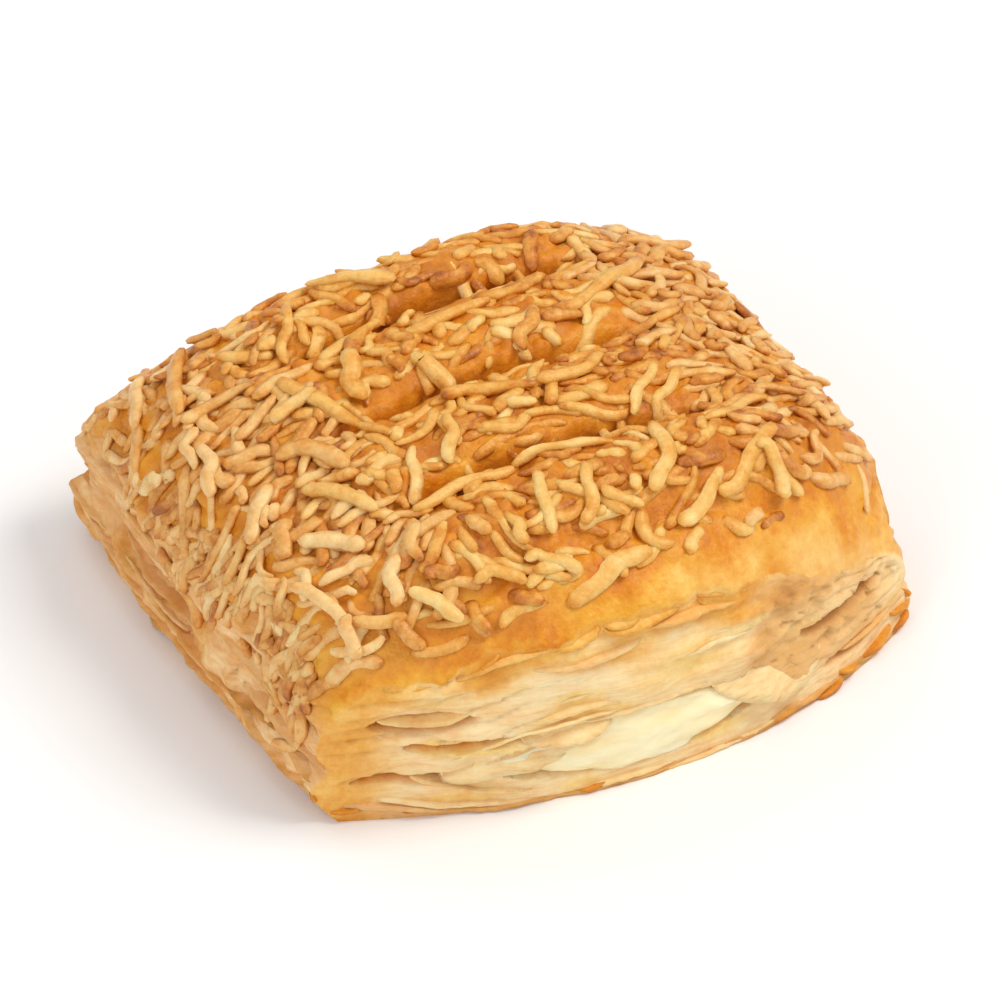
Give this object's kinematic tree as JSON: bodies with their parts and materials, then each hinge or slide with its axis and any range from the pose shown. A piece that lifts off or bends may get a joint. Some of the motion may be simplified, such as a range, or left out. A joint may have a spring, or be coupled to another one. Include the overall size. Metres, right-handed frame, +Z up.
{
  "type": "half of a baked cheese pastry slice",
  "caption": "Half of a puff pastry slice torn across its middle, with a slashed, cheese-topped crust, flaky torn layers and a band of soft cheese showing in the tear.",
  "frame": {"origin": "middle of the flat base, under the centre of the bounding box", "axes": "+X across the pastry from one sealed side to the other, +Y from the torn face to the sealed far end, so the tear faces -Y, and +Z up out of the slashed top"},
  "size_m": [0.0822, 0.0784, 0.0332],
  "materials": {
    "baked_crust": "golden-brown baked puff pastry, egg-washed to a soft gloss on top, matt and flaky at the sides, cream-coloured crumb in the tear, with paler strands of grated cheese baked on",
    "soft_cheese": "smooth pale yellow soft cheese with a moist, slightly translucent surface"
  },
  "bodies": {
    "root": {"puff_pastry": "baked_crust", "cheese_filling": "soft_cheese"}
  },
  "joints": []
}
